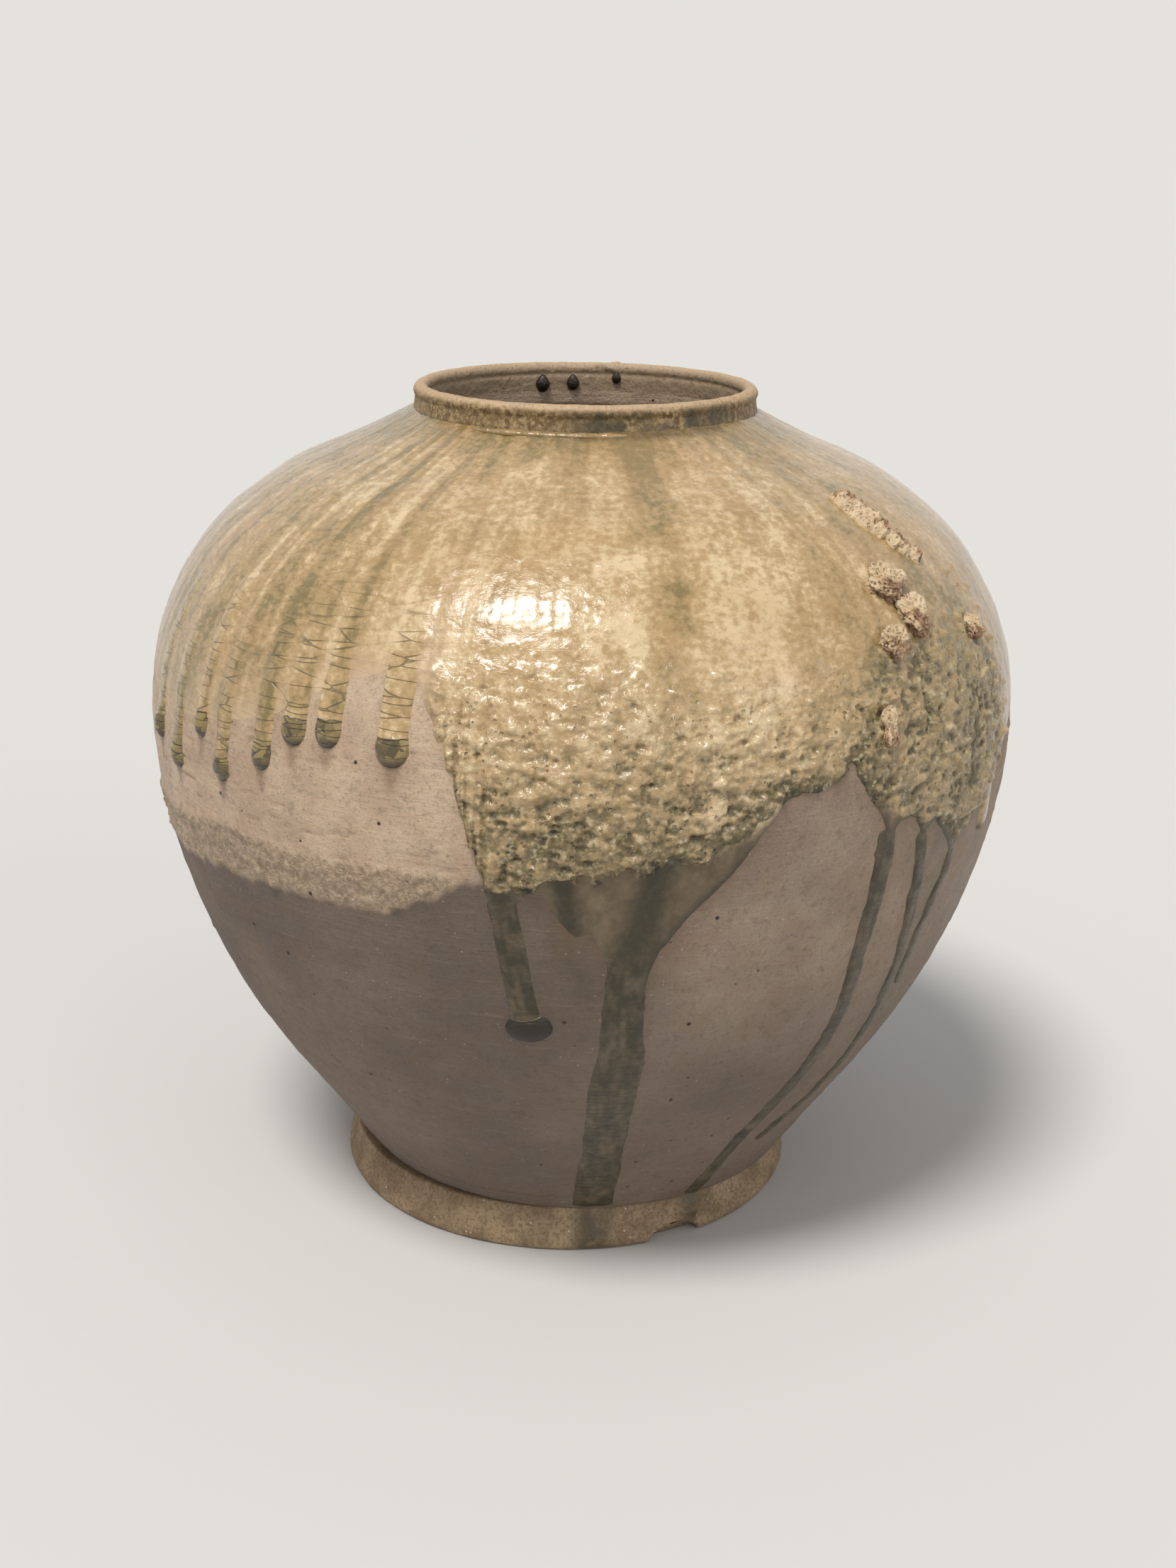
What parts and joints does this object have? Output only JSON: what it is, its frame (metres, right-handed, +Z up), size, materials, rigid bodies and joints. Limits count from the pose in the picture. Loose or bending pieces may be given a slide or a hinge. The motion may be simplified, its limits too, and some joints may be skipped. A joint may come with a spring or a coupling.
{
  "type": "stoneware storage jar",
  "caption": "Short-necked stoneware jar with a round shoulder and flared foot ring, natural ash glaze with long runs and hanging bead tips, and fused kiln debris.",
  "frame": {"origin": "on the jar's axis, on the plane that the foot ring stands on", "axes": "+Z up along the jar's axis, -Y towards the side with the longest glaze runs, +X to the right of that side"},
  "size_m": [0.25, 0.251, 0.238],
  "materials": {
    "bare_clay": "unglazed stoneware, fine-grained, dry with a slight kiln flash",
    "foot_clay": "unglazed stoneware, sandy and matte",
    "rim_clay": "unglazed stoneware with a thin flashed sheen",
    "ash_glaze": "glossy natural ash glaze, streaked and crazed",
    "dark_glaze": "thick glossy olive glaze, crazed",
    "kiln_debris": "rough porous kiln debris, matte"
  },
  "bodies": {
    "root": {"foot_ring": "foot_clay", "base_disc": "bare_clay", "lower_wall": "bare_clay", "middle_wall": "bare_clay", "belly_wall": "bare_clay", "shoulder_wall": "bare_clay", "shoulder_top": "bare_clay", "neck_collar": "rim_clay", "shoulder_glaze": "ash_glaze", "crease_pool": "dark_glaze", "left_drip_1": "dark_glaze", "left_drip_2": "dark_glaze", "left_drip_3": "dark_glaze", "left_drip_4": "dark_glaze", "left_drip_5": "dark_glaze", "left_drip_6": "dark_glaze", "left_drip_7": "dark_glaze", "left_drip_8": "dark_glaze", "centre_left_run": "dark_glaze", "centre_run": "dark_glaze", "right_run_1": "dark_glaze", "right_run_2": "dark_glaze", "right_run_3": "dark_glaze", "right_side_run": "ash_glaze", "inner_drop_1": "dark_glaze", "inner_drop_2": "dark_glaze", "inner_drop_3": "dark_glaze", "debris_strip": "kiln_debris", "debris_lump_1": "kiln_debris", "debris_lump_2": "kiln_debris", "debris_lump_3": "kiln_debris", "debris_lump_4": "kiln_debris", "debris_lump_5": "kiln_debris"}
  },
  "joints": []
}
